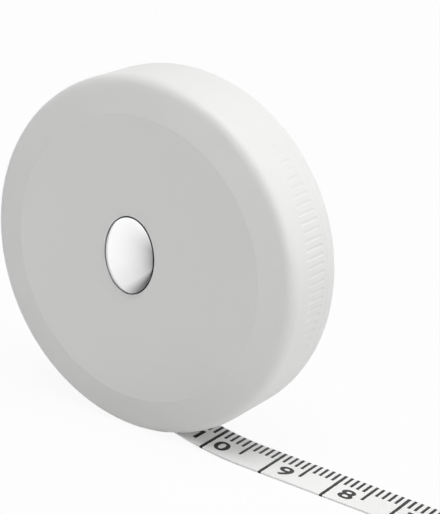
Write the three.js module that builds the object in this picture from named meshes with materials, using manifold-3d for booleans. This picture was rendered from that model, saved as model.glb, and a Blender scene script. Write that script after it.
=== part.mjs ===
// Round retractable cloth tape measure for sewing, standing on its rim with the tape drawn out.
// Millimetres, +Z up. The tape runs out along +X, the face with the button looks along -Y,
// and the origin lies on the table under the middle of the case.
import * as THREE from "three";
import { mergeVertices } from "three/addons/utils/BufferGeometryUtils.js";
import Module from "manifold-3d";

const wasm = await Module();
wasm.setup();

// Case
const CASE_RADIUS = 26;
const FACE_RADIUS = 20.7; // flat disc inside the sloping border
const BORDER_DEPTH = 0.8; // how far the border falls back towards the rim
const EDGE_ROUND = 0.9; // length of the rounding where border and rim meet
const FACE_DISH = 0.15; // the face is very slightly hollow
const FACE_WALL = 0.9;
const BORDER_WALL = 0.65;
const RIM_WALL = 1.6;
const BACK_WALL = 1.4;
const SEAM_PAST_TAPE = 0.9; // parting line of the two shells, behind the far edge of the tape
const SEAM_GAP = 0.12;
const LIP_WALL = 1;
const LIP_REACH = 1.6; // how far the rear shell's lip enters the front shell
const FIT = 0.2; // play between pieces pushed together
const CASE_SIDES = 72;

// Grip ridges, a lens-shaped patch on either side of the rim
const GRIP_PITCH_DEG = 2.7;
const GRIP_CENTRE_DEG = 15; // above the level of the axis
const GRIP_HALF_SPAN_DEG = 34;
const GRIP_HALF_LENGTH = 2.2; // half length of the longest groove
const GRIP_HALF_END = 1.1; // half length that the grooves come down to at the ends of the patch
const GRIP_FROM_FACE = 6.4;
const GROOVE_RADIUS = 0.4;
const GROOVE_DEPTH = 0.25;

// Release button
const BUTTON_WIDTH = 8.1;
const BUTTON_HEIGHT = 10.7;
const BUTTON_X = -0.8; // middle of the oval, from the case axis
const BUTTON_Z = 0.5;
const BUTTON_PROUD = 1.3; // top of the dome above the border's inner edge
const BUTTON_EDGE = 0.12; // edge of the dome, just behind that level
const BUTTON_GAP = 0.25;
const BUTTON_STROKE = 1.2;
const BUTTON_FLANGE = 0.7; // ledge behind the face that keeps the button in
const BUTTON_FLANGE_DEPTH = 0.5;
const BUTTON_REST_GAP = 0.05;
const SOCKET_ROOF = 1; // material above the socket in the button
const SOCKET_WALL = 0.6; // least wall beside the socket

// Plunger and brake behind the button
const COLLAR_WALL = 0.9; // collar past the neck
const STEM_RADIUS = 1.8;
const STEM_LENGTH = 3;
const BRAKE_DISC = 0.8;
const BRAKE_MARGIN = 0.2; // disc past the pad, and pad past the hole in the cover
const PAD_WIDTH = 2.2;
const PAD_THICKNESS = 0.5;
const BRAKE_GAP = 0.25;

// Return spring in the bore of the post
const COIL_WIRE = 0.35;
const COIL_RADIUS = 1.6;
const COIL_TURNS = 5;
const SEAT_GAP = 0.1;

// Fixed post
const POST_RADIUS = 3.4;
const POST_BORE = 2.2;
const BORE_FLOOR = 0.8; // material left behind the bore
const RUN_GAP = 0.3; // running clearance of turning pieces

// Reel
const DRUM_WALL = 1.2;
const COVER_THICKNESS = 0.7;
const COVER_LEDGE = 0.6;
const COVER_FRONT_GAP = 0.6; // from the inside of the face
const FLANGE_GAP = 0.8; // between the flange and the lip of the rear shell
const FLANGE_THICKNESS = 0.8;
const HUB_WALL = 1.5;
const HUB_REACH = 1.3; // hub behind the flange
const WASHER_WIDTH = 2.5;
const WASHER_THICKNESS = 0.3;

// Mainspring
const SPRING_THICKNESS = 0.25;
const SPRING_TURNS = 8;
const SPRING_SIDE_GAP = 0.3;
const SPRING_SLOT = 0.85;
const SPRING_END_GAP = 0.6; // innermost and outermost turn from post and drum

// Tape
const TAPE_WIDTH = 7;
const TAPE_THICKNESS = 0.25;
const TAPE_LAYERS = 12; // turns on the drum
const TAPE_SIDE_GAP = 0.5; // near edge of the tape from the inside of the face
const ROLL_INSET = 1.4; // wound tape inside the edge of the flange
const LEAVE_DEG = -114; // where the tape leaves the roll
const TURN_GAP_DEG = 1.2;
const TURN_SPAN_DEG = 348;
const TOUCH_X = 19; // from here the tape lies on the table
const ZERO_X = 112.25; // start of the scale
const MOUTH_GAP = 0.4;
const MOUTH_SIDE_GAP = 0.2;
const MOUTH_LIP_X = 6.2; // end of the lower lip

// Metal tip on the tape
const CLIP_LENGTH = 8;
const CLIP_SHEET = 0.3;
const CLIP_GAP = 0.15;
const CLIP_SIDE = 0.3;
const CLIP_RAMP = 14; // length over which the tape rises into the tip
const RIVET_RADIUS = 0.8;
const RIVET_HEAD = 1.5;
const RIVET_HEAD_HEIGHT = 0.4;
const RIVET_FROM_END = 4;

// Levels along Y, from the dome of the button to the back
const reelDepth = TAPE_SIDE_GAP + TAPE_WIDTH + RUN_GAP + FLANGE_THICKNESS;
const hubDepth = HUB_REACH + SEAT_GAP + WASHER_THICKNESS;
const caseDepth = FACE_WALL + reelDepth + hubDepth + BACK_WALL;
const faceY = -(caseDepth + BUTTON_PROUD) / 2 + BUTTON_PROUD;
const backY = faceY + caseDepth;
const faceInY = faceY + FACE_WALL;
const backInY = backY - BACK_WALL;
const tapeY0 = faceInY + TAPE_SIDE_GAP;
const tapeY1 = tapeY0 + TAPE_WIDTH;
const seamY = tapeY1 + SEAM_PAST_TAPE;
const axisZ = CASE_RADIUS * Math.cos(Math.PI / CASE_SIDES);
const borderSlope = BORDER_DEPTH / (CASE_RADIUS - FACE_RADIUS);
const rimIn = CASE_RADIUS - RIM_WALL;
const coverY = faceInY + COVER_FRONT_GAP;
const coverBackY = coverY + COVER_THICKNESS;
const padY = coverBackY + BRAKE_GAP;
const brakeY = padY + PAD_THICKNESS;
const brakeBackY = brakeY + BRAKE_DISC;
const postY = brakeBackY + BUTTON_STROKE + RUN_GAP;
const stemEndY = brakeBackY + STEM_LENGTH;
const boreEndY = backY - BORE_FLOOR;
const flangeY = tapeY1 + RUN_GAP;
const flangeBackY = flangeY + FLANGE_THICKNESS;
const hubEndY = backInY - WASHER_THICKNESS - SEAT_GAP;
const springY0 = postY;
const springY1 = flangeY - SPRING_SIDE_GAP;

// Radii, from the rim inwards
const lipOut = rimIn - FIT;
const lipIn = lipOut - LIP_WALL;
const flangeRadius = lipIn - FLANGE_GAP;
const rollRadius = flangeRadius - ROLL_INSET; // outside of the wound tape
const drumRadius = rollRadius - TAPE_LAYERS * TAPE_THICKNESS - FIT;
const drumIn = drumRadius - DRUM_WALL;
const buttonReach = Math.max(BUTTON_WIDTH, BUTTON_HEIGHT) / 2 + Math.hypot(BUTTON_X, BUTTON_Z);
const coverHole = buttonReach + BUTTON_FLANGE + RUN_GAP;
const padIn = coverHole + BRAKE_MARGIN;
const padOut = padIn + PAD_WIDTH;
const neckRadius = BUTTON_WIDTH / 2 - Math.abs(BUTTON_X) - SOCKET_WALL - FIT;
const collarRadius = neckRadius + COLLAR_WALL;
const rad = THREE.MathUtils.degToRad;

// Materials
const plastic = (color, roughness) =>
  new THREE.MeshStandardMaterial({ color, roughness, metalness: 0 });
const metal = (color, roughness) =>
  new THREE.MeshStandardMaterial({ color, roughness, metalness: 1 });
const whiteCase = plastic(0xededeb, 0.42);
const whiteInner = plastic(0xe2e2de, 0.55);
const chrome = metal(0xe9e9ea, 0.08);
const steel = metal(0x8f9398, 0.35);
const springSteel = metal(0x5c6470, 0.4);
const rubber = plastic(0x2a2a2c, 0.85);
const nylon = plastic(0xf0efe6, 0.6);
const tapeCloth = plastic(0xf6f6f3, 0.7);

// A closed three.js geometry as a solid that can be cut and joined.
function solid(geometry) {
  const bare = new THREE.BufferGeometry().setAttribute(
    "position",
    (geometry.index ? geometry.toNonIndexed() : geometry).getAttribute("position"),
  );
  const merged = mergeVertices(bare, 1e-4);
  const kept = [];
  const index = merged.index.array;
  for (let i = 0; i < index.length; i += 3) {
    const [a, b, c] = [index[i], index[i + 1], index[i + 2]];
    if (a !== b && b !== c && c !== a) kept.push(a, b, c);
  }
  return new wasm.Manifold(
    new wasm.Mesh({
      numProp: 3,
      vertProperties: merged.attributes.position.array,
      triVerts: new Uint32Array(kept),
    }),
  );
}

// Closed profile of [radius, y] points turned about the Y axis.
function turned(profile, sides = 64) {
  let area = 0;
  profile.forEach(([r, y], i) => {
    const [r2, y2] = profile[(i + 1) % profile.length];
    area += r * y2 - r2 * y;
  });
  const ordered = area > 0 ? profile : [...profile].reverse();
  const points = [...ordered, ordered[0]].map(([r, y]) => new THREE.Vector2(r, y));
  return new THREE.LatheGeometry(points, sides, Math.PI / sides, 2 * Math.PI);
}

// Outline of [x, z] points drawn through the thickness from y0 to y1.
function slab(outline, y0, y1) {
  const shape = new THREE.Shape(outline.map(([x, z]) => new THREE.Vector2(x, z)));
  return new THREE.ExtrudeGeometry(shape, { depth: y1 - y0, bevelEnabled: false, steps: 1 })
    .rotateX(Math.PI / 2)
    .translate(0, y1, 0);
}

const ringProfile = (r0, r1, y0, y1) => [[r0, y0], [r1, y0], [r1, y1], [r0, y1]];
const box = (x0, x1, y0, y1, z0, z1) =>
  new THREE.BoxGeometry(x1 - x0, y1 - y0, z1 - z0).translate(
    (x0 + x1) / 2,
    (y0 + y1) / 2,
    (z0 + z1) / 2,
  );

// Band of constant thickness along a row of [x, z] points, as one closed outline.
function band(line, below, above = below) {
  const side = (offset) =>
    line.map(([x, z], i) => {
      const [xa, za] = line[Math.max(i - 1, 0)];
      const [xb, zb] = line[Math.min(i + 1, line.length - 1)];
      const length = Math.hypot(xb - xa, zb - za);
      return [x - (offset * (zb - za)) / length, z + (offset * (xb - xa)) / length];
    });
  return [...side(-below), ...side(above).reverse()];
}

const root = new THREE.Group();
const onAxis = new THREE.Group(); // pieces centred on the axis of the case
onAxis.position.z = axisZ;
root.add(onAxis);

function place(group, name, shape, material) {
  let geometry = shape;
  if (!shape.isBufferGeometry) {
    const { vertProperties, triVerts } = shape.getMesh();
    geometry = new THREE.BufferGeometry()
      .setAttribute("position", new THREE.BufferAttribute(new Float32Array(vertProperties), 3))
      .setIndex(new THREE.BufferAttribute(new Uint32Array(triVerts), 1));
    geometry.computeVertexNormals();
  }
  const mesh = new THREE.Mesh(geometry, material);
  mesh.name = name;
  group.add(mesh);
}

// Half section of the sloping border and its rounded edge, from the flat to the rim.
// y is the level of the flat and inward is +1 on the face, -1 on the back.
function borderProfile(y, inward) {
  const slope = Math.hypot(CASE_RADIUS - FACE_RADIUS, BORDER_DEPTH);
  const from = new THREE.Vector2(
    CASE_RADIUS - (EDGE_ROUND * (CASE_RADIUS - FACE_RADIUS)) / slope,
    y + inward * (BORDER_DEPTH - (EDGE_ROUND * BORDER_DEPTH) / slope),
  );
  const corner = new THREE.Vector2(CASE_RADIUS, y + inward * BORDER_DEPTH);
  const to = new THREE.Vector2(CASE_RADIUS, y + inward * (BORDER_DEPTH + EDGE_ROUND));
  const round = new THREE.QuadraticBezierCurve(from, corner, to).getPoints(5);
  return [[FACE_RADIUS, y], ...round.map((p) => [p.x, p.y])];
}

// Centre line of the drawn-out tape, in the plane of the case: off the roll, through the
// mouth, down to the table, along it and up into the metal tip.
const tapeMid = TAPE_THICKNESS / 2;
const turnRadius = rollRadius - tapeMid;
const leave = rad(LEAVE_DEG);
const leavePoint = [turnRadius * Math.cos(leave), axisZ + turnRadius * Math.sin(leave)];
const clipZ = CLIP_SHEET + CLIP_GAP + tapeMid;
const clipX = ZERO_X - CLIP_LENGTH;
const tapeEndX = ZERO_X - CLIP_SHEET - CLIP_GAP;
function tapeLine() {
  const points = [];
  const run = TOUCH_X - leavePoint[0];
  const fall = (-Math.cos(leave) / Math.sin(leave)) * run;
  for (let i = 0; i <= 20; i++) {
    const u = i / 20;
    const z =
      leavePoint[1] * (2 * u ** 3 - 3 * u ** 2 + 1) +
      fall * (u ** 3 - 2 * u ** 2 + u) +
      tapeMid * (3 * u ** 2 - 2 * u ** 3);
    points.push([leavePoint[0] + run * u, z]);
  }
  const rampX = clipX - CLIP_RAMP;
  for (let i = 1; i <= 4; i++) points.push([TOUCH_X + ((rampX - TOUCH_X) * i) / 4, tapeMid]);
  for (let i = 1; i <= 6; i++) {
    const u = i / 6;
    const z = tapeMid + (clipZ - tapeMid) * u * u * (3 - 2 * u);
    points.push([rampX + CLIP_RAMP * u, z]);
  }
  points.push([tapeEndX, clipZ]);
  return points;
}
const line = tapeLine();

// Front shell: face, border and most of the rim in one moulding.
const borderInRadius = FACE_RADIUS + (FACE_WALL - BORDER_WALL) / borderSlope;
const borderInY = faceY + (rimIn - FACE_RADIUS) * borderSlope + BORDER_WALL;
const dish = [0, 0.35, 0.7].map((f) => [f * FACE_RADIUS, faceY + FACE_DISH * (1 - f * f)]);
let frontShell = solid(
  turned(
    [
      ...dish,
      ...borderProfile(faceY, 1),
      [CASE_RADIUS, seamY],
      [rimIn, seamY],
      [rimIn, borderInY],
      [borderInRadius, faceInY],
      [0, faceInY],
    ],
    CASE_SIDES,
  ),
);

// The oval opening for the button, with a broken outer edge.
const oval = (halfWidth, halfHeight, profile, sides = 48) =>
  turned(profile, sides).scale(halfWidth, 1, halfHeight).translate(BUTTON_X, 0, BUTTON_Z);
const holeA = BUTTON_WIDTH / 2 + BUTTON_GAP;
const holeB = BUTTON_HEIGHT / 2 + BUTTON_GAP;
const flare = 1.05;
frontShell = frontShell.subtract(
  solid(
    oval(holeA, holeB, [
      [0, faceY - 1],
      [flare + 0.1, faceY - 1],
      [flare, faceY + FACE_DISH - 0.02],
      [1, faceY + FACE_DISH + 0.25],
      [1, faceInY + 1],
      [0, faceInY + 1],
    ]),
  ),
);

// Grip grooves: round-ended cuts along the axis, longest in the middle of the patch.
const grooveCount = Math.floor(GRIP_HALF_SPAN_DEG / GRIP_PITCH_DEG);
for (let i = -grooveCount; i <= grooveCount; i++) {
  const share = (i * GRIP_PITCH_DEG) / GRIP_HALF_SPAN_DEG;
  const half = GRIP_HALF_LENGTH - (GRIP_HALF_LENGTH - GRIP_HALF_END) * share * share;
  if (half < GROOVE_RADIUS) continue;
  const turn = rad(GRIP_CENTRE_DEG + i * GRIP_PITCH_DEG);
  const reach = CASE_RADIUS + GROOVE_RADIUS - GROOVE_DEPTH;
  for (const side of [1, -1]) {
    const groove = new THREE.CapsuleGeometry(GROOVE_RADIUS, 2 * (half - GROOVE_RADIUS) + 0.01, 2, 8)
      .rotateY(side * (turn + Math.PI / 8))
      .translate(
        side * reach * Math.cos(turn),
        faceY + GRIP_FROM_FACE,
        reach * Math.sin(turn),
      );
    frontShell = frontShell.subtract(solid(groove));
  }
}

// The mouth: a notch for the tape in the lower rim, open towards the parting line.
const nearMouth = line.filter(([x]) => x > -2 && x < TOUCH_X);
const half = tapeMid + MOUTH_GAP;
const upper = band(nearMouth, half).slice(nearMouth.length);
const lower = band(nearMouth, half).slice(0, nearMouth.length).filter(([x]) => x < MOUTH_LIP_X);
const mouthOutline = [
  ...lower,
  [MOUTH_LIP_X, lower[lower.length - 1][1] - 0.2],
  [MOUTH_LIP_X, -1],
  [TOUCH_X + 1, -1],
  ...upper,
].map(([x, z]) => [x, z - axisZ]);
const mouth = solid(slab(mouthOutline, tapeY0 - MOUTH_SIDE_GAP, seamY + 1));
frontShell = frontShell.subtract(mouth);
place(onAxis, "front_shell", frontShell, whiteCase);

// Rear shell: back, its border, the lip that enters the front shell and the fixed post.
const backBorderY = backY - (lipIn - FACE_RADIUS) * borderSlope - BACK_WALL;
const postSlot = solid(
  box(0, POST_RADIUS + 1, postY - 1, springY1 + FIT, -SPRING_SLOT / 2, SPRING_SLOT / 2),
);
const rearShell = solid(
  turned(
    [
      [0, backY],
      ...borderProfile(backY, -1),
      [CASE_RADIUS, seamY + SEAM_GAP],
      [lipOut, seamY + SEAM_GAP],
      [lipOut, seamY - LIP_REACH],
      [lipIn, seamY - LIP_REACH],
      [lipIn, backBorderY],
      [FACE_RADIUS, backInY],
      [POST_RADIUS, backInY],
      [POST_RADIUS, postY],
      [POST_BORE, postY],
      [POST_BORE, boreEndY],
      [0, boreEndY],
    ],
    CASE_SIDES,
  ),
)
  .subtract(solid(slab(mouthOutline, tapeY0 - MOUTH_SIDE_GAP, seamY + SEAM_GAP / 2)))
  .subtract(postSlot);
place(onAxis, "rear_shell", rearShell, whiteCase);

// Button: an oval dome with a ledge behind the face and a socket for the plunger.
const buttonTopY = faceY - BUTTON_PROUD;
const buttonSideY = faceY + BUTTON_EDGE;
const ledgeY = faceInY + BUTTON_REST_GAP;
const buttonBackY = ledgeY + BUTTON_FLANGE_DEPTH;
const socketY = buttonTopY + SOCKET_ROOF;
const dome = [];
for (let i = 0; i <= 8; i++) {
  const turn = (i / 8) * (Math.PI / 2);
  dome.push([Math.cos(turn), buttonSideY + (buttonTopY - buttonSideY) * Math.sin(turn)]);
}
dome[8][0] = 0;
const button = solid(
  oval(BUTTON_WIDTH / 2, BUTTON_HEIGHT / 2, [[0, buttonBackY], [1, buttonBackY], ...dome], 48),
)
  .add(
    solid(
      oval(
        BUTTON_WIDTH / 2 + BUTTON_FLANGE,
        BUTTON_HEIGHT / 2 + BUTTON_FLANGE,
        [[0, ledgeY], [1, ledgeY], [1, buttonBackY], [0, buttonBackY]],
        48,
      ),
    ),
  )
  .subtract(solid(turned([[0, socketY], [neckRadius + FIT, socketY],
    [neckRadius + FIT, buttonBackY + 1], [0, buttonBackY + 1]], 32)));
place(onAxis, "button_cap", button, chrome);

// Plunger: neck in the button, collar, brake disc and stem in one moulding.
place(
  onAxis,
  "button_plunger",
  turned([
    [0, socketY + FIT],
    [neckRadius, socketY + FIT],
    [neckRadius, buttonBackY],
    [collarRadius, buttonBackY],
    [collarRadius, brakeY],
    [padOut + BRAKE_MARGIN, brakeY],
    [padOut + BRAKE_MARGIN, brakeBackY],
    [STEM_RADIUS, brakeBackY],
    [STEM_RADIUS, stemEndY],
    [0, stemEndY],
  ], 48),
  whiteInner,
);

// Rubber ring on the brake disc, which holds the reel until the button is pressed.
place(onAxis, "brake_pad", turned(ringProfile(padIn, padOut, padY, brakeY), 48), rubber);

// Return spring between the stem and the floor of the bore.
class Coil extends THREE.Curve {
  constructor(y0, y1) {
    super();
    this.y0 = y0;
    this.y1 = y1;
  }
  getPoint(t, target = new THREE.Vector3()) {
    const turn = t * COIL_TURNS * 2 * Math.PI;
    const y = this.y0 + (this.y1 - this.y0) * t;
    return target.set(COIL_RADIUS * Math.cos(turn), y, COIL_RADIUS * Math.sin(turn));
  }
}
const coilHalf = COIL_WIRE / 2;
const coil = new Coil(stemEndY + SEAT_GAP + coilHalf, boreEndY - SEAT_GAP - coilHalf);
const coilSteps = COIL_TURNS * 10;
const wire = new THREE.Shape(
  [0, 1, 2, 3, 4, 5].map(
    (i) =>
      new THREE.Vector2(
        coilHalf * Math.cos((i * Math.PI) / 3),
        coilHalf * Math.sin((i * Math.PI) / 3),
      ),
  ),
);
place(
  onAxis,
  "return_spring",
  new THREE.ExtrudeGeometry(wire, { steps: coilSteps, extrudePath: coil, bevelEnabled: false }),
  springSteel,
);
const coilPoints = coil.getSpacedPoints(coilSteps * 4);
let coilGap = Infinity;
coilPoints.forEach((a, i) =>
  coilPoints.slice(i + 20).forEach((b) => {
    coilGap = Math.min(coilGap, a.distanceTo(b) - COIL_WIRE);
  }),
);
console.log("return_spring least gap to itself " + coilGap.toFixed(2) + " mm");

// Reel: a drum closed by a flange at the back, running on the post.
const slotY0 = springY0 - FIT;
const drumSlot = solid(
  box(drumIn - 1, drumRadius + 1, slotY0, springY1 + FIT, -SPRING_SLOT / 2, SPRING_SLOT / 2),
);
const hubIn = POST_RADIUS + RUN_GAP;
const drum = solid(
  turned([
    [hubIn, flangeY],
    [drumIn, flangeY],
    [drumIn, coverBackY],
    [drumIn + COVER_LEDGE, coverBackY],
    [drumIn + COVER_LEDGE, coverY],
    [drumRadius, coverY],
    [drumRadius, flangeY],
    [flangeRadius, flangeY],
    [flangeRadius, flangeBackY],
    [hubIn + HUB_WALL, flangeBackY],
    [hubIn + HUB_WALL, hubEndY],
    [hubIn, hubEndY],
  ]),
).subtract(drumSlot);
place(onAxis, "spool_drum", drum, whiteInner);

// Cover set into the front of the drum. The brake ring bears on its inner side.
place(
  onAxis,
  "spool_cover",
  turned(ringProfile(coverHole, drumIn + COVER_LEDGE - FIT, coverY, coverBackY)),
  whiteInner,
);

// Washer between the hub and the back.
place(
  onAxis,
  "thrust_washer",
  turned(ringProfile(hubIn, hubIn + WASHER_WIDTH, backInY - WASHER_THICKNESS, backInY), 48),
  nylon,
);

// Mainspring: a spiral strip hooked in the post at the inside and in the drum at the outside.
const spiralIn = POST_RADIUS + SPRING_END_GAP;
const spiralOut = drumIn - SPRING_END_GAP;
const spiral = [];
for (let i = 0; i <= SPRING_TURNS * 24; i++) {
  const turn = (i / 24) * 2 * Math.PI;
  const r = spiralIn + ((spiralOut - spiralIn) * i) / (SPRING_TURNS * 24);
  spiral.push([r * Math.cos(turn), r * Math.sin(turn)]);
}
const stripHalf = SPRING_THICKNESS / 2;
const innerHook = box(POST_BORE + FIT, spiralIn, springY0 + FIT, springY1 - FIT, -stripHalf, stripHalf);
const outerHook = box(spiralOut, drumRadius - FIT, springY0 + FIT, springY1 - FIT, -stripHalf, stripHalf);
place(
  onAxis,
  "mainspring",
  solid(slab(band(spiral, stripHalf), springY0, springY1)).add(solid(innerHook)).add(solid(outerHook)),
  springSteel,
);

// Wound tape: a plain core of the inner layers and the outermost turn over it.
const coreRadius = rollRadius - 2 * TAPE_THICKNESS - FIT;
place(
  onAxis,
  "wound_tape_core",
  turned(ringProfile(drumRadius + FIT, coreRadius, tapeY0, tapeY1)),
  tapeCloth,
);
const outerTurn = [];
for (let i = 0; i <= 72; i++) {
  const turn = rad(LEAVE_DEG - TURN_GAP_DEG - (TURN_SPAN_DEG * i) / 72);
  const r = turnRadius - (TAPE_THICKNESS * TURN_SPAN_DEG * i) / (72 * 360);
  outerTurn.push([r * Math.cos(turn), r * Math.sin(turn)]);
}
place(onAxis, "wound_tape_turn", slab(band(outerTurn.reverse(), tapeMid), tapeY0, tapeY1), tapeCloth);

// Drawn-out tape, from the roll through the mouth to the tip.
const rivetX = ZERO_X - RIVET_FROM_END;
const pinHole = (radius) =>
  solid(new THREE.CylinderGeometry(radius, radius, 6, 24).rotateX(Math.PI / 2)
    .translate(rivetX, (tapeY0 + tapeY1) / 2, 1));
place(
  root,
  "tape_ribbon",
  solid(slab(band(line, tapeMid), tapeY0, tapeY1)).subtract(pinHole(RIVET_RADIUS + RUN_GAP)),
  tapeCloth,
);

// Folded metal tip and its rivet.
const clipTop = 2 * (CLIP_SHEET + CLIP_GAP) + TAPE_THICKNESS;
const clipY0 = tapeY0 - CLIP_SIDE;
const clipY1 = tapeY1 + CLIP_SIDE;
const foldOut = clipTop / 2;
const foldIn = foldOut - CLIP_SHEET;
const foldX = ZERO_X - foldOut;
const fold = (radius, sign) =>
  [...Array(7).keys()].map((i) => {
    const turn = sign * (-Math.PI / 2 + (i * Math.PI) / 6);
    return [foldX + radius * Math.cos(turn), foldOut + radius * Math.sin(turn)];
  });
const tip = solid(
  slab(
    [[clipX, 0], ...fold(foldOut, 1), [clipX, clipTop], [clipX, clipTop - CLIP_SHEET],
      ...fold(foldIn, -1), [clipX, CLIP_SHEET]],
    clipY0,
    clipY1,
  ),
).subtract(pinHole(RIVET_RADIUS + FIT));
place(root, "end_clip", tip, steel);
const rivet = new THREE.Group();
rivet.position.set(rivetX, (tapeY0 + tapeY1) / 2, 0);
rivet.rotation.x = Math.PI / 2;
root.add(rivet);
place(
  rivet,
  "clip_rivet",
  turned([
    [0, 0.02],
    [RIVET_RADIUS, 0.02],
    [RIVET_RADIUS, clipTop + 0.02],
    [RIVET_HEAD, clipTop + 0.02],
    [RIVET_HEAD * 0.8, clipTop + RIVET_HEAD_HEIGHT * 0.7],
    [0, clipTop + RIVET_HEAD_HEIGHT],
  ], 24),
  steel,
);

export default root;
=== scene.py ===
import math

import bmesh
import bpy
from mathutils import Matrix, Vector


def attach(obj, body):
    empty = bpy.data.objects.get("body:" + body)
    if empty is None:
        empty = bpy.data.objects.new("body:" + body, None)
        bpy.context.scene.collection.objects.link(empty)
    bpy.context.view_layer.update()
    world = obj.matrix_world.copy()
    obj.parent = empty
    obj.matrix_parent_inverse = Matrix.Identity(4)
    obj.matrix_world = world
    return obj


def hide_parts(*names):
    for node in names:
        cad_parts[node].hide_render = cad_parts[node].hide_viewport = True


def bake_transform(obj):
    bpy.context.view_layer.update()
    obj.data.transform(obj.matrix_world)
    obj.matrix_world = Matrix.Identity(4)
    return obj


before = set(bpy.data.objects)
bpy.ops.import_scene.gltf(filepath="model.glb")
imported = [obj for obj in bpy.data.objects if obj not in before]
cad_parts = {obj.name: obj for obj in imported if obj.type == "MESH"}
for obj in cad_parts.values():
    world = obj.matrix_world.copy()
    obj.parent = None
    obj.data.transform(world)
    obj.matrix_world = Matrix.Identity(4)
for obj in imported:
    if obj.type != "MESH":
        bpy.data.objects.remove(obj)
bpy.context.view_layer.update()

# Camera: it stands to the right of the face and a little above the case, turned slightly about
# its own line of sight. Its place was fitted to the printed ticks, the rim and the face.
mm = 0.001
rim, face_level = 26, -5.65  # radius of the case and front of its face, in millimetres
axis_height = rim * mm * math.cos(math.pi / 72)  # the case stands on one of its 72 flats
picture_width, picture_height = 440, 514
azimuth, elevation, roll = (math.radians(v) for v in (33.63, 20.53, 3.74))
focal_pixels = 1700
distance = 236.8 * mm
across_pixels = 133.7 - picture_width / 2  # middle of the face, from the middle of the picture
down_pixels = 260.6 - picture_height / 2
forward = Vector((
    -math.sin(azimuth) * math.cos(elevation),
    math.cos(azimuth) * math.cos(elevation),
    -math.sin(elevation),
))
level = Vector((math.cos(azimuth), math.sin(azimuth), 0))
upright = level.cross(forward)
right = level * math.cos(roll) + upright * math.sin(roll)
up = upright * math.cos(roll) - level * math.sin(roll)
camera = bpy.data.objects.new("camera", bpy.data.cameras.new("camera"))
camera.data.sensor_width = 36
camera.data.lens = focal_pixels / picture_height * camera.data.sensor_width
camera.data.clip_start = 0.01
camera.matrix_world = Matrix((right, up, -forward)).transposed().to_4x4()
camera.location = (
    Vector((0, face_level * mm, axis_height))
    + (right * -across_pixels + up * down_pixels) * (distance / focal_pixels)
    - forward * distance
)
bpy.context.scene.collection.objects.link(camera)
bpy.context.scene.camera = camera
bpy.context.scene.view_settings.view_transform = "Standard"


# Tape: a woven cloth strip, coated white and printed with a millimetre scale. It comes off the
# roll inside the case, leaves through the mouth in the rim and lies along the table.
tape_width = 7 * mm
tape_thickness = 0.25 * mm
tape_near_edge = -4.25 * mm
whole_tape = 1500 * mm
scale_zero_x = 112.25 * mm
roll_middle = 20.875 * mm  # radius of the middle of the outermost turn
leave_angle = math.radians(-114)  # where the tape leaves the roll
leave_x = roll_middle * math.cos(leave_angle)
leave_z = axis_height + roll_middle * math.sin(leave_angle)
touch_x, lift_x, tip_x, tape_end_x = (v * mm for v in (19, 90.25, 104.25, 111.8))
lying_z, tip_z = 0.125 * mm, 0.575 * mm


def tape_height(x):
    """Height of the middle of the tape's thickness, at x from the axis of the case."""
    if x < touch_x:
        run = touch_x - leave_x
        u = (x - leave_x) / run
        fall = -run / math.tan(leave_angle)
        return (
            leave_z * (2 * u**3 - 3 * u**2 + 1)
            + fall * (u**3 - 2 * u**2 + u)
            + lying_z * (3 * u**2 - 2 * u**3)
        )
    u = min(max((x - lift_x) / (tip_x - lift_x), 0), 1)
    return lying_z + (tip_z - lying_z) * u * u * (3 - 2 * u)


def tape_strip(route, zero_distance):
    """Closed strip along a row of (x, z) points, with a UV map along and across the tape."""
    strip = bmesh.new()
    bmesh.ops.create_cube(strip, size=1)
    steps = len(route) - 1
    lengthwise = [e for e in strip.edges if abs(e.verts[0].co.x - e.verts[1].co.x) > 0.5]
    bmesh.ops.subdivide_edges(strip, edges=lengthwise, cuts=steps - 1, use_grid_fill=True)
    gone = [zero_distance]
    for (xa, za), (xb, zb) in zip(route, route[1:]):
        gone.append(gone[-1] - math.hypot(xb - xa, zb - za))
    station = {v: round((v.co.x + 0.5) * steps) for v in strip.verts}
    scale_map = strip.loops.layers.uv.new("tape_scale")
    for face in strip.faces:
        for loop in face.loops:
            loop[scale_map].uv = (gone[station[loop.vert]] / whole_tape, loop.vert.co.y + 0.5)
    for vert in strip.verts:
        i = station[vert]
        (xa, za), (xb, zb) = route[max(i - 1, 0)], route[min(i + 1, steps)]
        lift = vert.co.z * tape_thickness / math.hypot(xb - xa, zb - za)
        vert.co = (
            route[i][0] - lift * (zb - za),
            tape_near_edge + (vert.co.y + 0.5) * tape_width,
            route[i][1] + lift * (xb - xa),
        )
    return strip


def colour(code):
    """Linear colour from an sRGB hex value."""
    parts = [int(code[i:i + 2], 16) / 255 for i in (1, 3, 5)]
    return [p / 12.92 if p <= 0.04045 else ((p + 0.055) / 1.055) ** 2.4 for p in parts] + [1]


def add_node(finish, kind, settings={}, **inputs):
    """A new node; each input is a number, a colour or another node's output socket."""
    node = finish.node_tree.nodes.new("ShaderNode" + kind)
    for name, value in settings.items():
        setattr(node, name, value)
    for name, value in inputs.items():
        socket = node.inputs[int(name[1:]) if name[1:].isdigit() else name.replace("_", " ")]
        if isinstance(value, bpy.types.NodeSocket):
            finish.node_tree.links.new(value, socket)
        else:
            socket.default_value = value
    return node.outputs[0]


def new_finish(name, **inputs):
    """A material of that name, and its shader with the constant values set on it."""
    finish = bpy.data.materials.new(name)
    finish.use_nodes = True
    shader = finish.node_tree.nodes["Principled BSDF"]
    for key, value in inputs.items():
        shader.inputs[key.replace("_", " ")].default_value = value
    return finish, shader


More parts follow.
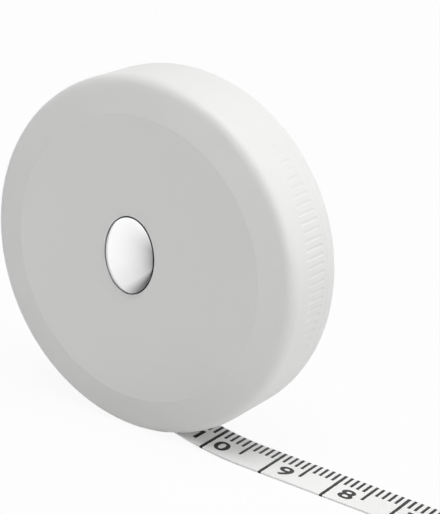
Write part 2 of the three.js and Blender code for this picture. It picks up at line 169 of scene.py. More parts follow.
def make_piece(shape, name, finish, sharp_degrees=30):
    """The finished bmesh as an object at the origin, smooth except along its sharp edges."""
    bmesh.ops.remove_doubles(shape, verts=shape.verts, dist=1e-7)
    bmesh.ops.recalc_face_normals(shape, faces=shape.faces)
    mesh = bpy.data.meshes.new(name)
    shape.to_mesh(mesh)
    shape.free()
    mesh.materials.append(finish)
    mesh.shade_smooth()
    mesh.set_sharp_from_angle(angle=math.radians(sharp_degrees))
    piece = bpy.data.objects.new(name, mesh)
    bpy.context.scene.collection.objects.link(piece)
    return piece


# Coated woven polyester: a soft white face in which the threads just show. The threads are drawn
# at 0.5 mm, twice as coarse as they are, so that they show in the picture. The scale is printed
# in black ink with slightly uneven edges, and the ink is a little glossier than the cloth.
printed_cloth, cloth_shader = new_finish("coated_woven_polyester", IOR=1.5)
scale_uv = add_node(printed_cloth, "UVMap", {"uv_map": "tape_scale"})
scale_axes = add_node(printed_cloth, "SeparateXYZ", Vector=scale_uv).node
along = add_node(printed_cloth, "Math", {"operation": "MULTIPLY"},
                 _0=scale_axes.outputs["X"], _1=whole_tape / mm)
across = add_node(printed_cloth, "Math", {"operation": "MULTIPLY"},
                  _0=scale_axes.outputs["Y"], _1=tape_width / mm)
place = add_node(printed_cloth, "TexCoord").node.outputs["Object"]
ink_edge = add_node(printed_cloth, "TexNoise", Vector=place, Scale=1 / (0.5 * mm), Detail=1.0)
wobble = add_node(printed_cloth, "Math", {"operation": "MULTIPLY_ADD"},
                  _0=ink_edge, _1=0.10, _2=-0.05)
ink = 0.0
tick_rows = ((0.5, 0.22, 4.6), (2.5, 0.23, 2.45), (5, 0.25, -1))  # 1, 5 and 10 mm strokes
for half_spacing, half_width, lowest in tick_rows:
    away = add_node(printed_cloth, "Math", {"operation": "PINGPONG"}, _0=along, _1=half_spacing)
    ragged = add_node(printed_cloth, "Math", {"operation": "ADD"}, _0=away, _1=wobble)
    stroke = add_node(printed_cloth, "Math", {"operation": "LESS_THAN"}, _0=ragged, _1=half_width)
    reach = add_node(printed_cloth, "Math", {"operation": "GREATER_THAN"}, _0=across, _1=lowest)
    tick = add_node(printed_cloth, "Math", {"operation": "MULTIPLY"}, _0=stroke, _1=reach)
    ink = add_node(printed_cloth, "Math", {"operation": "MAXIMUM"}, _0=tick, _1=ink)
patches = add_node(printed_cloth, "TexNoise", Vector=place, Scale=1 / (3 * mm), Detail=2.0)
cloth_white = add_node(printed_cloth, "MixRGB", Fac=patches,
                       Color1=colour("#f8f8f7"), Color2=colour("#f3f3f2"))
inked = add_node(printed_cloth, "MixRGB", Fac=ink, Color1=cloth_white, Color2=colour("#0c0c0d"))
gloss = add_node(printed_cloth, "Math", {"operation": "MULTIPLY_ADD"}, _0=ink, _1=-0.15, _2=0.6)
thread_spacing = 0.5
thread = 2 * math.pi / thread_spacing
warp = add_node(printed_cloth, "Math", {"operation": "SINE"}, _0=add_node(
    printed_cloth, "Math", {"operation": "MULTIPLY"}, _0=along, _1=thread))
weft = add_node(printed_cloth, "Math", {"operation": "SINE"}, _0=add_node(
    printed_cloth, "Math", {"operation": "MULTIPLY"}, _0=across, _1=thread))
crossing = add_node(printed_cloth, "Math", {"operation": "MULTIPLY"}, _0=warp, _1=weft)
weave = add_node(printed_cloth, "Bump", Height=crossing, Distance=0.012 * mm, Strength=0.6)
for socket, value in (("Base Color", inked), ("Roughness", gloss), ("Normal", weave)):
    printed_cloth.node_tree.links.new(value, cloth_shader.inputs[socket])

route_x = []
for start_x, end_x, steps in ((leave_x, touch_x, 40), (touch_x, lift_x, 36), (lift_x, tip_x, 12)):
    route_x += [start_x + (end_x - start_x) * i / steps for i in range(steps)]
route_x += [tip_x, tape_end_x]
drawn_route = [(x, tape_height(x)) for x in route_x]
drawn_length = sum(math.dist(a, b) for a, b in zip(drawn_route, drawn_route[1:]))
roll_distance = drawn_length + scale_zero_x - tape_end_x  # scale reading where the roll starts
tape = make_piece(tape_strip(drawn_route, roll_distance), "tape", printed_cloth)
tape_middle_y = tape_near_edge + tape_width / 2
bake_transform(tape)
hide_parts("tape_ribbon")

# Numbers of the scale: the centimetres, printed in the same black ink, each on the zero side of
# its long stroke. The ten stands over its stroke, one digit on either side. The ink covers the
# weave a little unevenly, so the black varies.
ink_black, ink_shader = new_finish("black_printing_ink", IOR=1.5, Roughness=0.45)
ink_place = add_node(ink_black, "TexCoord").node.outputs["Object"]
ink_cover = add_node(ink_black, "TexNoise", Vector=ink_place, Scale=1 / (0.4 * mm), Detail=2.0)
ink_tone = add_node(ink_black, "MixRGB", Fac=ink_cover,
                    Color1=colour("#0a0a0b"), Color2=colour("#1a1a1b"))
ink_black.node_tree.links.new(ink_tone, ink_shader.inputs["Base Color"])

digit_height, digit_width, one_width = 2.6 * mm, 2.2 * mm, 0.55 * mm
flag_length, flag_width, flag_turn = 0.95 * mm, 0.4 * mm, math.radians(40)  # of the one
flag_left, flag_up = 0.42 * mm, 0.84 * mm
ink_thickness = 0.02 * mm
digit_middle_y = tape_near_edge + 2.5 * mm
digit_setback = 2.7
digit_places = [(str(n), n * 10 - digit_setback) for n in range(2, 10)]  # readings in mm
digit_places += [("1", 8.6), ("1", 102.0), ("0", 98.0)]
digits = bmesh.new()
for digit, reading in digit_places:
    lettering = bpy.data.curves.new("digit", "FONT")
    lettering.body = digit
    lettering.offset = 0.022  # a little bolder
    lettering.extrude = ink_thickness / mm / 2
    written = bpy.data.objects.new("digit", lettering)
    outline = written.to_mesh()
    low = Vector([min(v.co[i] for v in outline.vertices) for i in range(3)])
    high = Vector([max(v.co[i] for v in outline.vertices) for i in range(3)])
    wide = one_width if digit == "1" else digit_width
    outline.transform(
        Matrix.Translation((scale_zero_x - reading * mm, digit_middle_y, 0))
        @ Matrix.Diagonal((wide / (high.x - low.x), digit_height / (high.y - low.y), mm, 1))
        @ Matrix.Translation((low + high) / -2)
    )
    digits.from_mesh(outline)
    if digit == "1":
        flag_x = scale_zero_x - reading * mm - flag_left
        bmesh.ops.create_cube(digits, size=1, matrix=(
            Matrix.Translation((flag_x, digit_middle_y + flag_up, 0))
            @ Matrix.Rotation(flag_turn, 4, "Z")
            @ Matrix.Diagonal((flag_length, flag_width, ink_thickness, 1))))
    written.to_mesh_clear()
    bpy.data.objects.remove(written)
for vert in digits.verts:
    vert.co.z += tape_height(vert.co.x) + (tape_thickness + ink_thickness) / 2
numbers = make_piece(digits, "tape_numbers", ink_black)
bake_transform(numbers)

# Metal tip: one piece of plated sheet steel folded over the end of the tape, with rounded edges.
# A round-headed rivet through the middle holds it.
tip_sheet, tip_height, tip_edge = 0.3 * mm, 1.15 * mm, 0.08 * mm
tip_near, tip_far = -4.55 * mm, 3.05 * mm

# Nickel-plated steel: a pale grey metal that shines softly, with fine rub marks across the tape.
tip_steel, tip_shader = new_finish("nickel_plated_steel", Metallic=1.0)
tip_place = add_node(tip_steel, "TexCoord").node.outputs["Object"]
grain = add_node(tip_steel, "TexNoise", Scale=1 / (0.6 * mm), Detail=3.0, Vector=add_node(
    tip_steel, "Mapping", Vector=tip_place, Scale=(1, 0.08, 1)))
tip_tone = add_node(tip_steel, "MixRGB", Fac=grain,
                    Color1=colour("#b9bcbf"), Color2=colour("#cdd0d2"))
tip_gloss = add_node(tip_steel, "Math", {"operation": "MULTIPLY_ADD"}, _0=grain, _1=0.16, _2=0.2)
tip_dents = add_node(tip_steel, "Bump", Height=grain, Distance=0.01 * mm, Strength=0.4)
for socket, value in (("Base Color", tip_tone), ("Roughness", tip_gloss), ("Normal", tip_dents)):
    tip_steel.node_tree.links.new(value, tip_shader.inputs[socket])

fold_radius = tip_height / 2
tip_bend = [(scale_zero_x - fold_radius + fold_radius * math.sin(math.pi * i / 16),
             fold_radius - fold_radius * math.cos(math.pi * i / 16)) for i in range(17)]
tip_line = [(tip_x, 0)] + tip_bend + [(tip_x, tip_height)]
tip_inner = []
for x, z in reversed(tip_line):
    toward = Vector((min(x, scale_zero_x - fold_radius) - x, fold_radius - z))
    step = toward.normalized() * tip_sheet
    tip_inner.append((x + step.x, z + step.y))
folded = bmesh.new()
section = folded.faces.new([folded.verts.new((x, tip_near, z)) for x, z in tip_line + tip_inner])
drawn = bmesh.ops.extrude_face_region(folded, geom=[section])
bmesh.ops.translate(folded, vec=(0, tip_far - tip_near, 0),
                    verts=[v for v in drawn["geom"] if isinstance(v, bmesh.types.BMVert)])
bmesh.ops.recalc_face_normals(folded, faces=folded.faces)
tip_edges = [e for e in folded.edges if e.is_manifold and e.calc_face_angle() > 1]
bmesh.ops.bevel(folded, geom=tip_edges, offset=tip_edge, offset_type="OFFSET", segments=2,
                profile=0.5, affect="EDGES", material=-1)
tip = make_piece(folded, "metal_tip", tip_steel)
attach(tip, "tape_end")
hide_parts("end_clip")

rivet_x = 108.25 * mm  # the section below is radius and height in millimetres
rivet_profile = [(0, 0.02), (0.72, 0.02), (0.8, 0.1), (0.8, 1.17), (1.5, 1.17), (1.49, 1.25),
                 (1.38, 1.35), (1.15, 1.45), (0.8, 1.52), (0.4, 1.54), (0, 1.55)]
pin = bmesh.new()
pin_line = [pin.verts.new((rivet_x + r * mm, tape_middle_y, z * mm)) for r, z in rivet_profile]
for a, b in zip(pin_line, pin_line[1:]):
    pin.edges.new((a, b))
bmesh.ops.spin(pin, geom=pin.verts[:] + pin.edges[:], cent=(rivet_x, tape_middle_y, 0),
               axis=(0, 0, 1), angle=2 * math.pi, steps=40, use_merge=True)
rivet = make_piece(pin, "tip_rivet", tip_steel)
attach(rivet, "tape_end")
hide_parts("clip_rivet")


# Rear shell: the back half of the case, moulded in white ABS with the post that the reel runs on.
# Its lip is pushed into the front shell, and the seam runs round the rim as a fine line.
def turned_case(profile, closed):
    """A half section of (radius, y) points in millimetres spun about the axis of the case."""
    shell = bmesh.new()
    ring = [shell.verts.new((r * mm, y * mm, axis_height)) for r, y in profile]
    for a, b in zip(ring, ring[1:] + ring[:1] if closed else ring[1:]):
        shell.edges.new((a, b))
    bmesh.ops.spin(shell, geom=shell.verts[:] + shell.edges[:], cent=(0, 0, axis_height),
                   axis=(0, 1, 0), angle=2 * math.pi, steps=180, use_merge=True)
    bmesh.ops.remove_doubles(shell, verts=shell.verts, dist=1e-7)
    bmesh.ops.recalc_face_normals(shell, faces=shell.faces)
    return shell


def cut_piece(shape, cutter, name, finish, sharp_degrees=30):
    """The shape less the cutter, as a finished piece."""
    piece = make_piece(shape, name, finish)
    tool = make_piece(cutter, "cutter", finish)
    cut = piece.modifiers.new("cut", "BOOLEAN")
    cut.object = tool
    cut.operation = "DIFFERENCE"
    cut.solver = "EXACT"
    whole = piece.evaluated_get(bpy.context.evaluated_depsgraph_get())
    mesh = bpy.data.meshes.new_from_object(whole)
    piece.modifiers.clear()
    piece.data = mesh
    mesh.name = name
    mesh.shade_smooth()
    mesh.set_sharp_from_angle(angle=math.radians(sharp_degrees))
    bpy.data.objects.remove(tool)
    return piece


def mouth_cutter(far_y):
    """The slot for the tape: a little more than its thickness, open below its lower lip."""
    inside_x, lip_x, outside_x = -2 * mm, 6.2 * mm, 20 * mm
    half_slot, side_gap, lip_step, below_floor = 0.525 * mm, 0.2 * mm, 0.2 * mm, -mm
    near_y = tape_near_edge - side_gap
    near_mouth = [(x, z) for x, z in drawn_route if inside_x < x < touch_x]
    above, below = [], []
    for (xa, za), (xb, zb) in zip(near_mouth, near_mouth[1:]):
        slant = Vector((xa - xb, za - zb)).normalized() * half_slot
        above.append((xa + slant.y, za - slant.x))
        below.append((xa - slant.y, za + slant.x))
    below = [p for p in below if p[0] < lip_x]
    opening = [(lip_x, below[-1][1] - lip_step), (lip_x, below_floor), (outside_x, below_floor),
               (outside_x, above[-1][1])]
    outline = below + opening + above[::-1]
    slot = bmesh.new()
    near = slot.faces.new([slot.verts.new((x, near_y, z)) for x, z in outline])
    drawn = bmesh.ops.extrude_face_region(slot, geom=[near])
    bmesh.ops.translate(slot, vec=(0, far_y - near_y, 0),
                        verts=[v for v in drawn["geom"] if isinstance(v, bmesh.types.BMVert)])
    return slot


crease, crease_step = 20.7, 0.025  # radius of the face and the fine step round it, in millimetres
border_width, border_depth, round_length = 5.3, 0.8, 1.5
rim_steps = 12


def edge_round(flat_y, inward):
    """Border and rounded edge of the case, from the flat of the face or back to the rim, in mm."""
    slope = Vector((border_width, border_depth)).normalized() * round_length
    corner = Vector((rim, border_depth))
    start, end = corner - slope, corner + Vector((0, round_length))
    points = [(crease - 0.5, crease_step), (crease - 0.17, crease_step),
              (crease - 0.13, crease_step * 0.85), (crease - 0.03, crease_step * 0.15)]
    points += [(crease + d, d * border_depth / border_width) for d in (0.02, 0.2, 2, 3.6)]
    for i in range(rim_steps + 1):
        t = i / rim_steps
        p = start * (1 - t) ** 2 + corner * 2 * t * (1 - t) + end * t * t
        points.append((p.x, p.y))
    return [(r, flat_y + inward * y) for r, y in points]


# Injection-moulded ABS: clean white with a satin skin, a very fine spark-eroded grain that is
# drawn at 0.35 mm so that it just shows, and a faint unevenness of gloss from handling.
white_abs, abs_shader = new_finish("satin_white_abs", IOR=1.53)
abs_place = add_node(white_abs, "TexCoord").node.outputs["Object"]
clouds = add_node(white_abs, "TexNoise", Vector=abs_place, Scale=1 / (14 * mm), Detail=2.0)
abs_tone = add_node(white_abs, "MixRGB", Fac=clouds,
                    Color1=colour("#eeeeed"), Color2=colour("#eaeae9"))
handling = add_node(white_abs, "TexNoise", Vector=abs_place, Scale=1 / (5 * mm), Detail=4.0)
abs_gloss = add_node(white_abs, "Math", {"operation": "MULTIPLY_ADD"},
                     _0=handling, _1=0.12, _2=0.3)
eroded = add_node(white_abs, "TexNoise", Vector=abs_place, Scale=1 / (0.35 * mm), Detail=2.0)
abs_grain = add_node(white_abs, "Bump", Height=eroded, Distance=0.004 * mm, Strength=0.5)
for socket, value in (("Base Color", abs_tone), ("Roughness", abs_gloss), ("Normal", abs_grain)):
    white_abs.node_tree.links.new(value, abs_shader.inputs[socket])

back, back_inside, seam, lip_front = 6.95, 5.55, 3.665, 2.05  # levels along the axis, in mm
lip_outer, lip_inner = 24.2, 23.2
post_radius, post_bore, post_front, bore_end = 3.4, 2.2, -0.4, 6.15
rear_profile = (
    [(0, back), (10, back)] + edge_round(back, -1)
    + [(rim, seam + 0.01), (rim - 0.01, seam), (lip_outer, seam)]
    + [(lip_outer, lip_front + 0.1), (lip_outer - 0.1, lip_front)]
    + [(lip_inner + 0.1, lip_front), (lip_inner, lip_front + 0.1), (lip_inner, 5.173)]
    + [(crease, back_inside), (post_radius, back_inside), (post_radius, post_front)]
    + [(post_bore, post_front), (post_bore, bore_end), (0, bore_end)]
)
rear_cutter = mouth_cutter(seam * mm)
spring_slot = Matrix.Diagonal((4.4 * mm, 4.35 * mm, 0.85 * mm, 1))
slot_place = Matrix.Translation((2.2 * mm, 0.775 * mm, axis_height))
bmesh.ops.create_cube(rear_cutter, size=1, matrix=slot_place @ spring_slot)  # for the mainspring
rear_shell = cut_piece(turned_case(rear_profile, False), rear_cutter, "rear_case", white_abs)
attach(rear_shell, "case")
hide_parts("rear_shell")

# Reel: a drum with a flange at the back and a cover pressed into its front, moulded in plain
# white ABS, running on the post against a nylon washer.

# Plain moulded ABS: a duller and creamier white than the case, with faint flow marks.
inner_abs, inner_shader = new_finish("plain_white_abs", IOR=1.53)
inner_place = add_node(inner_abs, "TexCoord").node.outputs["Object"]
swirl = add_node(inner_abs, "TexNoise", Vector=inner_place, Scale=1 / (4 * mm), Detail=3.0)
inner_tone = add_node(inner_abs, "MixRGB", Fac=swirl,
                      Color1=colour("#e4e4e0"), Color2=colour("#dcdcd7"))
inner_gloss = add_node(inner_abs, "Math", {"operation": "MULTIPLY_ADD"}, _0=swirl, _1=0.2, _2=0.45)
for socket, value in (("Base Color", inner_tone), ("Roughness", inner_gloss)):
    inner_abs.node_tree.links.new(value, inner_shader.inputs[socket])
for node in ("spool_drum", "spool_cover", "button_plunger"):
    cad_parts[node].material_slots[0].material = inner_abs

# Natural nylon: milky, slightly yellow, and a little light goes into it.
washer_nylon, nylon_shader = new_finish("natural_nylon", IOR=1.53, Subsurface_Weight=0.1,
                                        Subsurface_Radius=(mm, mm, mm))
nylon_place = add_node(washer_nylon, "TexCoord").node.outputs["Object"]
milky = add_node(washer_nylon, "TexNoise", Vector=nylon_place, Scale=1 / (2 * mm), Detail=2.0)
nylon_tone = add_node(washer_nylon, "MixRGB", Fac=milky,
                      Color1=colour("#f1efe6"), Color2=colour("#e6e3d8"))
nylon_gloss = add_node(washer_nylon, "Math", {"operation": "MULTIPLY_ADD"},
                       _0=milky, _1=0.15, _2=0.5)
for socket, value in (("Base Color", nylon_tone), ("Roughness", nylon_gloss)):
    washer_nylon.node_tree.links.new(value, nylon_shader.inputs[socket])
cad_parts["thrust_washer"].material_slots[0].material = washer_nylon

# Mainspring and return spring: blued spring steel, a flat strip wound between post and drum that
# pulls the tape in, and a coil of wire that brings the button back.

# Blued steel: a dark blue grey with a dull shine, paler where the temper colour is thin.
blued_steel, blued_shader = new_finish("blued_spring_steel", Metallic=1.0)
blued_place = add_node(blued_steel, "TexCoord").node.outputs["Object"]
temper = add_node(blued_steel, "TexNoise", Vector=blued_place, Scale=1 / (3 * mm), Detail=3.0)
blued_tone = add_node(blued_steel, "MixRGB", Fac=temper,
                      Color1=colour("#59616c"), Color2=colour("#6f7378"))
blued_gloss = add_node(blued_steel, "Math", {"operation": "MULTIPLY_ADD"},
                       _0=temper, _1=0.2, _2=0.28)
for socket, value in (("Base Color", blued_tone), ("Roughness", blued_gloss)):
    blued_steel.node_tree.links.new(value, blued_shader.inputs[socket])
for node in ("mainspring", "return_spring"):
    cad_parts[node].material_slots[0].material = blued_steel

# Wound tape: the rest of the same printed cloth, wound turn upon turn on the drum. Its outermost
# turn ends just short of the place where the drawn tape leaves the roll.
wound_turns = 11.2
steps_each_turn = 64
wound_steps = round(wound_turns * steps_each_turn)
wound_gap = math.radians(1.2)
wound_route = []
for i in range(wound_steps + 1):
    turn = leave_angle - wound_gap - wound_turns * 2 * math.pi * i / wound_steps
    r = roll_middle - wound_turns * tape_thickness * i / wound_steps
    wound_route.append((r * math.cos(turn), axis_height + r * math.sin(turn)))
wound_length = sum(math.dist(a, b) for a, b in zip(wound_route, wound_route[1:]))
wound_route.reverse()
wound = make_piece(tape_strip(wound_route, roll_distance + wound_length), "wound_tape",
                   printed_cloth)
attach(wound, "reel")
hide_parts("wound_tape_core", "wound_tape_turn")

# Brake: a black rubber ring on the plunger's disc, which holds the reel until the button is
# pressed. Rubber is dull, with a fine bloom on it.
black_rubber, rubber_shader = new_finish("black_rubber", IOR=1.52)
rubber_place = add_node(black_rubber, "TexCoord").node.outputs["Object"]
bloom = add_node(black_rubber, "TexNoise", Vector=rubber_place, Scale=1 / mm, Detail=4.0)
rubber_tone = add_node(black_rubber, "MixRGB", Fac=bloom,
                       Color1=colour("#242426"), Color2=colour("#333335"))
rubber_gloss = add_node(black_rubber, "Math", {"operation": "MULTIPLY_ADD"},
                        _0=bloom, _1=0.15, _2=0.75)
for socket, value in (("Base Color", rubber_tone), ("Roughness", rubber_gloss)):
    black_rubber.node_tree.links.new(value, rubber_shader.inputs[socket])
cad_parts["brake_pad"].material_slots[0].material = black_rubber

# Front shell: the face, its sloping border and most of the rim in one moulding of the same white
# ABS. It has the oval hole for the button, the mouth for the tape, and a patch of fine grip
# grooves on either side of the rim, longest in the middle of the patch.
face_dish, face_inside = 0.2, -4.75
front_seam, wall_inside, inside_start = 3.655, 24.4, 2.48
face_rings = (0.12, 0.3, 0.45, 0.6, 0.75, 0.9)  # shares of the radius
front_profile = (
    [(f * crease, face_level + crease_step + face_dish * (1 - f * f)) for f in face_rings]
    + edge_round(face_level, 1)
    + [(rim, front_seam - 0.01), (rim - 0.01, front_seam), (wall_inside, front_seam)]
    + [(wall_inside, -4.442), (22.356, face_inside), (inside_start, face_inside)]
)
button_middle = Vector((-1.0 * mm, 0, axis_height + 0.42 * mm))


def turned_oval(profile, half_width, half_height):
    """Half section of (share of the radius, y in mm) spun and drawn out to an upright oval."""
    shape = bmesh.new()
    ring = [shape.verts.new((r, y * mm, 0)) for r, y in profile]
    for a, b in zip(ring, ring[1:]):
        shape.edges.new((a, b))
    bmesh.ops.spin(shape, geom=shape.verts[:] + shape.edges[:], cent=(0, 0, 0),
                   axis=(0, 1, 0), angle=2 * math.pi, steps=96, use_merge=True)
    bmesh.ops.remove_doubles(shape, verts=shape.verts, dist=1e-7)
    bmesh.ops.scale(shape, vec=(half_width * mm, 1, half_height * mm), verts=shape.verts)
    bmesh.ops.translate(shape, vec=button_middle, verts=shape.verts)
    return shape


hole_half_width, hole_half_height = 4.36, 5.74
hole_profile = [(0, -6.6), (1.015, -6.6), (1.01, -5.44), (1.003, -5.41), (1.0, -5.36), (1.0, -3.7),
                (0, -3.7)]  # its edge is slightly rounded
front_cutter = turned_oval(hole_profile, hole_half_width, hole_half_height)
mouth_far = 4.65 * mm  # past the seam
mouth = mouth_cutter(mouth_far)
mouth_mesh = bpy.data.meshes.new("mouth")
mouth.to_mesh(mouth_mesh)
front_cutter.from_mesh(mouth_mesh)
groove_pitch, groove_centre, groove_span = 2.7, 15, 34  # degrees round the rim
groove_radius, groove_depth, groove_y = 0.7, 0.07, 0.75  # millimetres
longest_half, shortest_half = 2.5, 1.4
grooves_each_way = 12
for i in range(-grooves_each_way, grooves_each_way + 1):
    share = i * groove_pitch / groove_span
    half = longest_half - (longest_half - shortest_half) * share * share
    turn = math.radians(groove_centre + i * groove_pitch)
    reach = rim + groove_radius - groove_depth
    for side in (1, -1):
        capsule = bmesh.ops.create_uvsphere(
            front_cutter, u_segments=24, v_segments=13, radius=groove_radius * mm,
            matrix=Matrix.Rotation(math.pi / 2, 4, "X"))["verts"]
        for end in (1, -1):
            bmesh.ops.translate(front_cutter, vec=(0, end * (half - groove_radius) * mm, 0),
                                verts=[v for v in capsule if v.co.y * end > 0])
        bmesh.ops.translate(front_cutter, verts=capsule, vec=(
            side * reach * math.cos(turn) * mm, groove_y * mm,
            axis_height + reach * math.sin(turn) * mm))
front_shell = cut_piece(turned_case(front_profile, True), front_cutter, "front_case", white_abs,
                        sharp_degrees=40)
grip = bmesh.new()
grip.from_mesh(front_shell.data)
for edge in grip.edges:
    around = [math.hypot(v.co.x, v.co.z - axis_height) > (rim - 0.01) * mm for v in edge.verts]
    beside = [abs(v.co.y - groove_y * mm) < longest_half * mm for v in edge.verts]
    if all(around + beside) and edge.is_manifold and edge.calc_face_angle() > 0.1:
        edge.smooth = False  # the grooves keep their edges
grip.to_mesh(front_shell.data)
grip.free()
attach(front_shell, "case")
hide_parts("front_shell")

# Release button: an oval dome of bright chromed ABS, standing out of the face, with a ledge that
# keeps it behind the face and a socket pressed over the plunger.

# Bright chrome plate: a clear mirror, here and there made softer by rubbing.
chrome, chrome_shader = new_finish("bright_chrome_plate", Metallic=1.0)
chrome_place = add_node(chrome, "TexCoord").node.outputs["Object"]
rubbed = add_node(chrome, "TexNoise", Vector=chrome_place, Scale=1 / (1.5 * mm), Detail=5.0)
chrome_tone = add_node(chrome, "MixRGB", Fac=rubbed,
                       Color1=colour("#fdfdfe"), Color2=colour("#f9f9fa"))
chrome_gloss = add_node(chrome, "Math", {"operation": "MULTIPLY_ADD"}, _0=rubbed, _1=0.06, _2=0.05)
for socket, value in (("Base Color", chrome_tone), ("Roughness", chrome_gloss)):
    chrome.node_tree.links.new(value, chrome_shader.inputs[socket])

# Black ABS below the edge of the dome, dull and very dark: painted shade that makes the gap round
# the button look dark.
black_abs, black_shader = new_finish("painted_shade_black_abs", IOR=1.53)
black_place = add_node(black_abs, "TexCoord").node.outputs["Object"]
flow = add_node(black_abs, "TexNoise", Vector=black_place, Scale=1 / (2 * mm), Detail=3.0)
black_tone = add_node(black_abs, "MixRGB", Fac=flow,
                      Color1=colour("#101011"), Color2=colour("#1b1b1c"))
black_gloss = add_node(black_abs, "Math", {"operation": "MULTIPLY_ADD"}, _0=flow, _1=0.15, _2=0.5)
for socket, value in (("Base Color", black_tone), ("Roughness", black_gloss)):
    black_abs.node_tree.links.new(value, black_shader.inputs[socket])

dome_foot, dome_rise, first_turn = -5.46, 1.2, math.radians(25)
dome_turns = [first_turn + (math.pi / 2 - first_turn) * i / 20 for i in range(20)]
dome = [(math.cos(turn) / math.cos(first_turn), dome_foot
         - dome_rise * (math.sin(turn) - math.sin(first_turn)) / (1 - math.sin(first_turn)))
        for turn in dome_turns]
ledge = [(0, -4.2), (1.115, -4.2), (1.115, -4.7)]
skirt = [(1.02, -4.7), (1.02, -5.41), (1.013, -5.45), (1.0, -5.45)]
cap_half_width, cap_half_height = 4.18, 5.55
cap = turned_oval(ledge + skirt + dome + [(0, dome_foot - dome_rise)],
                  cap_half_width, cap_half_height)
socket_radius, socket_depth, socket_middle = 2.55 * mm, 4 * mm, -3.8 * mm
socket_place = Matrix.Translation((0, socket_middle, axis_height))
socket_cutter = bmesh.new()
bmesh.ops.create_cone(socket_cutter, cap_ends=True, segments=48, radius1=socket_radius,
                      radius2=socket_radius, depth=socket_depth,
                      matrix=socket_place @ Matrix.Rotation(math.pi / 2, 4, "X"))
button = cut_piece(cap, socket_cutter, "release_button", chrome, sharp_degrees=50)
button.data.materials.append(black_abs)
# faces below the dome take the black ABS, painted shade for the gap round the button
for face in button.data.polygons:
    if face.center.y > (dome_foot - 0.001) * mm:
        face.material_index = 1  # below the dome
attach(button, "button")
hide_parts("button_cap")

# Studio: a plain white floor and soft light from three large sheets, the strongest overhead, one
# low on the right and one behind. The camera sees the floor mostly as clear white, the metal sees
# about a third of that, and the floor keeps a soft shadow.
floor_half, floor_drop = 3, 0.03 * mm
clear_share, gloss_share, fill_level = 0.93, 0.3, 0.12
floor_shape = bmesh.new()
bmesh.ops.create_grid(floor_shape, x_segments=1, y_segments=1, size=floor_half,
                      matrix=Matrix.Translation((0, 0, -floor_drop)))
floor_white, floor_shader = new_finish("matt_white_floor", Roughness=0.9, Specular_IOR_Level=0.1)
floor_shader.inputs["Base Color"].default_value = colour("#eaeaea")
floor_paths = add_node(floor_white, "LightPath").node
floor_seen = add_node(floor_white, "Math", {"operation": "MAXIMUM"},
                      _0=floor_paths.outputs["Is Camera Ray"],
                      _1=floor_paths.outputs["Is Transmission Ray"])
floor_gloss = add_node(floor_white, "Math", {"operation": "MULTIPLY"},
                       _0=floor_paths.outputs["Is Glossy Ray"], _1=gloss_share)
floor_share = add_node(floor_white, "Math", {"operation": "MULTIPLY_ADD"},
                       _0=floor_seen, _1=clear_share, _2=floor_gloss)
floor_clear = add_node(floor_white, "Emission", Color=colour("#ffffff"), Strength=1.0)
floor_mix = add_node(floor_white, "MixShader", _0=floor_share, _1=floor_shader.outputs[0],
                     _2=floor_clear)
floor_white.node_tree.links.new(
    floor_mix, floor_white.node_tree.nodes["Material Output"].inputs["Surface"])
floor = make_piece(floor_shape, "floor", floor_white)

studio = bpy.data.worlds.new("studio")
bpy.context.scene.world = studio
studio.use_nodes = True
fill = studio.node_tree.nodes["Background"]
fill.inputs["Color"].default_value = colour("#ffffff")
fill.inputs["Strength"].default_value = fill_level
paths = add_node(studio, "LightPath").node
clear = add_node(studio, "Background", Color=colour("#ffffff"), Strength=1.0)
seen = add_node(studio, "Math", {"operation": "MAXIMUM"}, _0=paths.outputs["Is Camera Ray"],
                _1=paths.outputs["Is Glossy Ray"])
seen = add_node(studio, "Math", {"operation": "MAXIMUM"}, _0=seen,
                _1=paths.outputs["Is Transmission Ray"])
backdrop = add_node(studio, "MixShader", _0=seen, _1=fill.outputs[0], _2=clear)
studio.node_tree.links.new(backdrop, studio.node_tree.nodes["World Output"].inputs["Surface"])

sheet_spread = math.radians(45)
sheets = (
    ("overhead_sheet", 0.60, Vector((0.12, -0.16, 0.98))),
    ("right_sheet", 0.25, Vector((0.9, -0.2, 0.35))),
    ("rear_sheet", 0.17, Vector((0.45, 0.45, 0.75))),
)
for name, level, side in sheets:  # level on a surface that faces it, and where it stands
    sheet = bpy.data.objects.new(name, bpy.data.lights.new(name, "SUN"))
    sheet.data.energy = level * math.pi
    sheet.data.angle = sheet_spread
    sheet.visible_glossy = False
    sheet.rotation_euler = side.to_track_quat("Z", "Y").to_euler()
    bpy.context.scene.collection.objects.link(sheet)
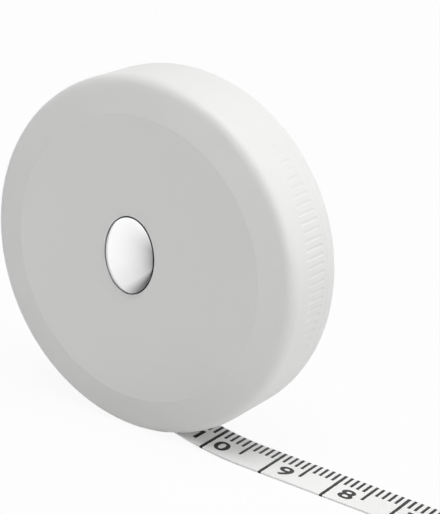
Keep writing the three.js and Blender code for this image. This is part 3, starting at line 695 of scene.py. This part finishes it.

# Grey card: it lies in front of the case and curves up round it, lighter to the left and towards
# the top. It glows and shows only in reflections, a painted reflection that puts painted shade into
# the chrome.
card_radius, card_height, card_foot = 60 * mm, 70 * mm, Vector((0, -6.5 * mm, 0))
card_lift, card_sweep = 0.1 * mm, math.radians(205)
card_section = [(mm, card_lift), (card_radius - 10 * mm, card_lift),
                (card_radius - 3 * mm, 3 * mm), (card_radius, 10 * mm), (card_radius, card_height)]
card_shape = bmesh.new()
card_line = [card_shape.verts.new(card_foot + Vector((-r, 0, z))) for r, z in card_section]
for a, b in zip(card_line, card_line[1:]):
    card_shape.edges.new((a, b))
bmesh.ops.spin(card_shape, geom=card_shape.verts[:] + card_shape.edges[:], cent=card_foot,
               axis=(0, 0, 1), angle=card_sweep, steps=40)

# Graded card, a painted reflection: white at the top and on the left, greyer low on the right and
# darkest near the tape, as painted shade.
low_edge, low_grey = 25 * mm, 0.78
painted_shade_spot, dark_start, dark_full, dark_grey = (14 * mm, -4 * mm, 0), 34 * mm, 18 * mm, 0.5
painted_reflection_card, _ = new_finish("painted_reflection_grey_card")
card_place = add_node(painted_reflection_card, "TexCoord").node.outputs["Object"]
card_axes = add_node(painted_reflection_card, "SeparateXYZ", Vector=card_place).node
rightward = add_node(painted_reflection_card, "MapRange", Value=card_axes.outputs["X"],
                     From_Min=-card_radius, From_Max=card_radius, To_Min=0.0, To_Max=1.0)
steepened = add_node(painted_reflection_card, "Math", {"operation": "POWER"}, _0=rightward, _1=1.5)
lowness = add_node(painted_reflection_card, "MapRange", Value=card_axes.outputs["Z"], From_Min=card_height,
                   From_Max=low_edge, To_Min=0.0, To_Max=low_grey)
from_spot = add_node(painted_reflection_card, "VectorMath", {"operation": "DISTANCE"}, _0=card_place,
                     _1=painted_shade_spot).node.outputs["Value"]
nearness = add_node(painted_reflection_card, "MapRange", Value=from_spot, From_Min=dark_start,
                    From_Max=dark_full, To_Min=0.0, To_Max=dark_grey)
low_shade = add_node(painted_reflection_card, "Math", {"operation": "MULTIPLY"}, _0=steepened, _1=lowness)
shade = add_node(painted_reflection_card, "Math", {"operation": "ADD"}, _0=low_shade, _1=nearness)
card_level = add_node(painted_reflection_card, "Math", {"operation": "SUBTRACT"}, _0=1.0, _1=shade)
# the glow is the painted reflection: its grey stands for shade that the chrome mirrors
painted_reflection_glow = add_node(painted_reflection_card, "Emission", Color=colour("#ffffff"), Strength=card_level)
painted_reflection_card.node_tree.links.new(
    painted_reflection_glow, painted_reflection_card.node_tree.nodes["Material Output"].inputs["Surface"])
card = make_piece(card_shape, "grey_card", painted_reflection_card)
card.visible_camera = card.visible_diffuse = card.visible_shadow = card.visible_transmission = False
